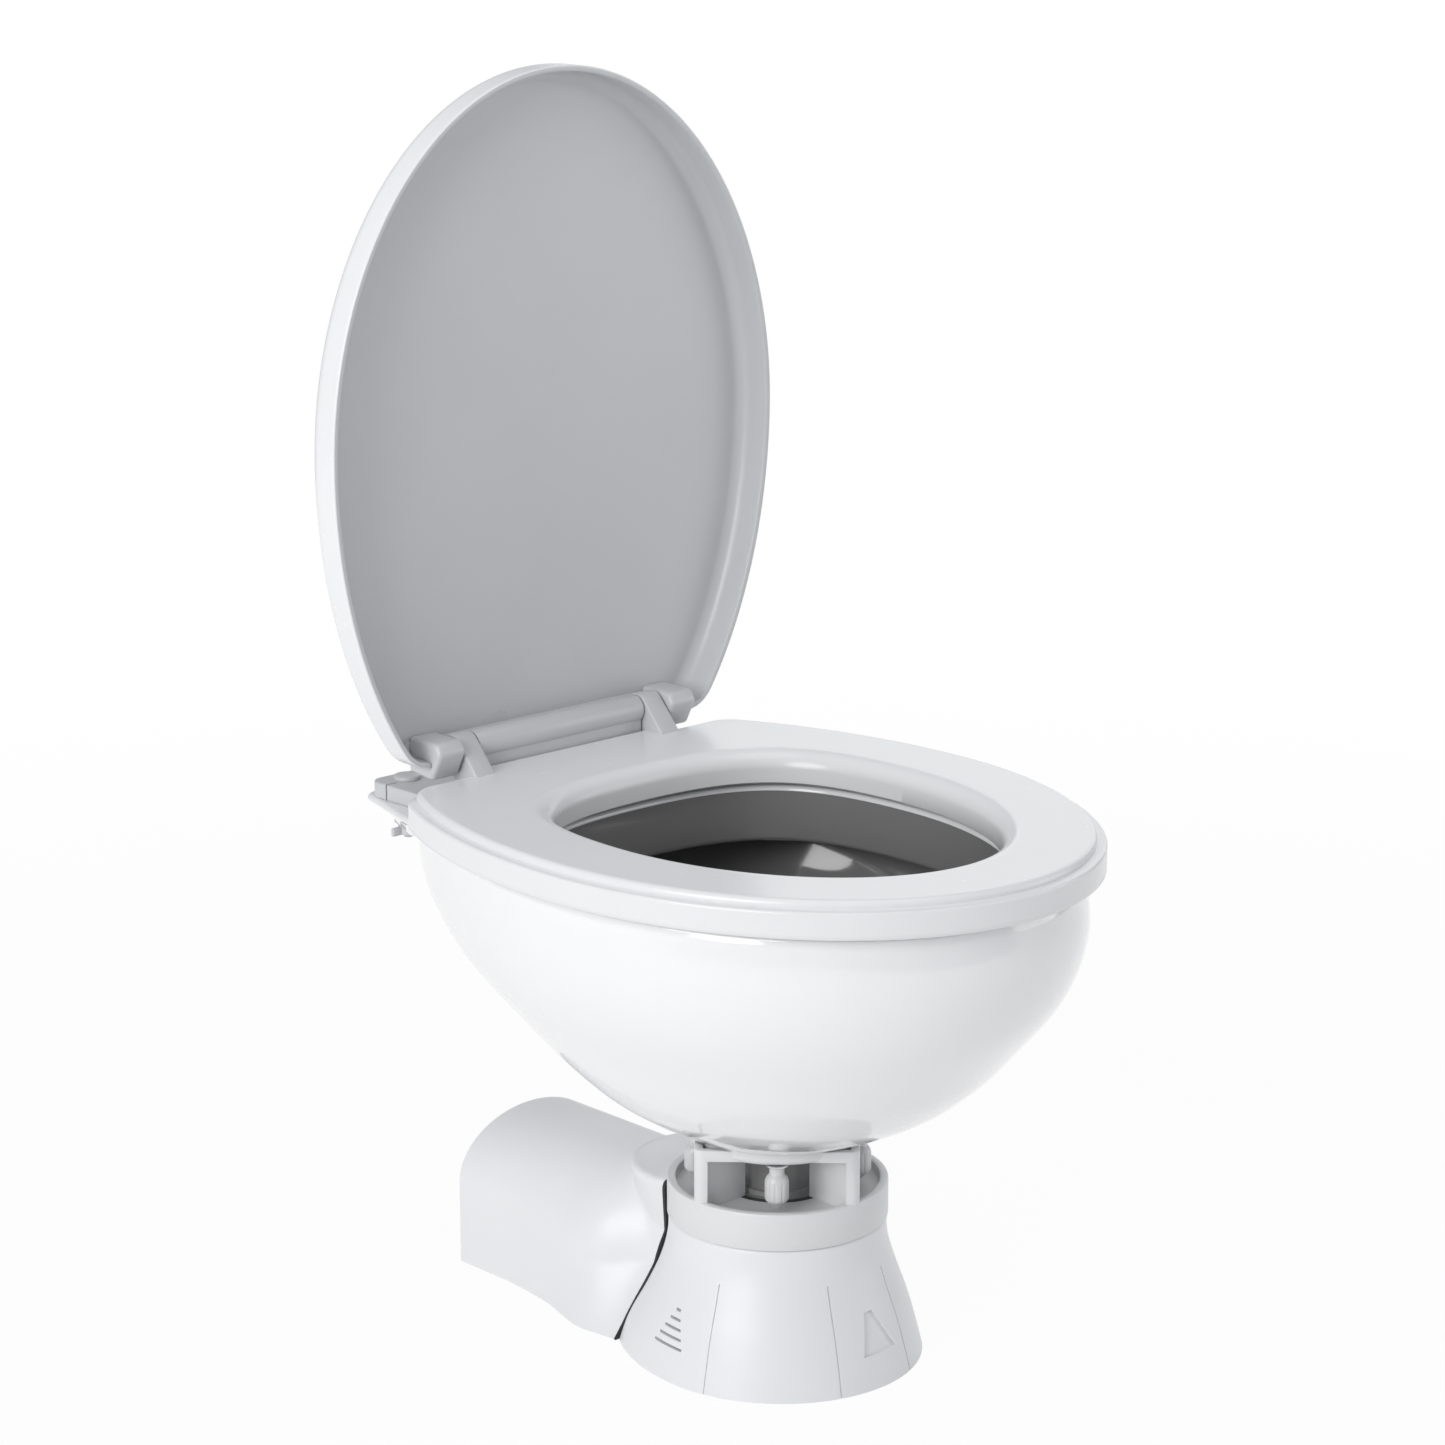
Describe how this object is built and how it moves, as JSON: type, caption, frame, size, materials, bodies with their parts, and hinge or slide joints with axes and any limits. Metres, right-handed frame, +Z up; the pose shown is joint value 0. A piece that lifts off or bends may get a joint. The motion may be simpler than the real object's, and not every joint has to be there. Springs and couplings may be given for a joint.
{
  "type": "electric marine toilet",
  "caption": "Compact electric marine toilet: ceramic bowl, hinged seat and lid, bolted neck, floor base and a covered macerator pump and motor.",
  "frame": {"origin": "on the floor, at the centre of the four floor bolts, below the bowl's outlet", "axes": "+Z up, -Y to the front of the bowl, +Y to the hinge, X across"},
  "size_m": [0.33, 0.443, 0.7109],
  "materials": {
    "vitreous_china": "glazed white china, high gloss",
    "seat_white": "moulded, semi-gloss",
    "lid_white": "moulded, semi-gloss",
    "hinge_white": "moulded, semi-gloss",
    "hinge_nut_white": "moulded",
    "stainless": "satin",
    "rubber_grey": "soft rubber",
    "nut_white": "moulded",
    "support_white": "moulded, satin",
    "shroud_white": "moulded, satin",
    "seal_black": "matt rubber",
    "plate_white": "moulded",
    "pump_black": "glass-filled moulding",
    "inlet_white": "moulded",
    "motor_steel": "painted steel",
    "magnet_grey": "ferrite"
  },
  "bodies": {
    "root": {"bowl": "vitreous_china", "hinge_base": "hinge_white", "hinge_bolts": "hinge_nut_white", "hinge_wing_nuts": "hinge_nut_white", "hinge_pin": "stainless", "bowl_studs": "stainless", "bowl_washers": "stainless", "support_screws": "stainless", "cover_screws": "stainless", "pump_screws": "stainless", "cutter_plate": "stainless", "front_bearing": "stainless", "rear_bearing": "stainless", "hinge_washers": "rubber_grey", "outlet_seal": "rubber_grey", "bowl_nuts": "nut_white", "bowl_support": "support_white", "bell_shroud": "shroud_white", "motor_cover": "shroud_white", "cover_seal": "seal_black", "joker_valve": "seal_black", "shaft_seal": "seal_black", "inlet_grommet": "seal_black", "floor_plate": "plate_white", "pump_housing": "pump_black", "pump_back_plate": "pump_black", "discharge_pipe": "pump_black", "motor_end_cap": "pump_black", "cable_gland": "pump_black", "flush_inlet": "inlet_white", "discharge_spigot": "inlet_white", "motor_can": "motor_steel", "motor_cradle": "motor_steel", "motor_magnets": "magnet_grey"},
    "seat": {"seat": "seat_white", "seat_buffers": "rubber_grey"},
    "lid": {"lid": "lid_white"},
    "rotor": {"drive_shaft": "stainless", "chopper_blade": "stainless", "impeller": "pump_black", "armature": "magnet_grey"}
  },
  "joints": [
    {"name": "seat_hinge", "type": "hinge", "parent": "root", "child": "seat", "pos_m": [0, 0.188, 0.3284], "axis": [-1, 0, 0], "range_deg": [0, 90]},
    {"name": "lid_hinge", "type": "hinge", "parent": "seat", "child": "lid", "pos_m": [0, 0.188, 0.3284], "axis": [-1, 0, 0], "range_deg": [-89.2, 0]},
    {"name": "pump_spin", "type": "hinge", "parent": "root", "child": "rotor", "pos_m": [-0.004, 0.03, 0.05], "axis": [0, 1, 0], "continuous": true}
  ]
}
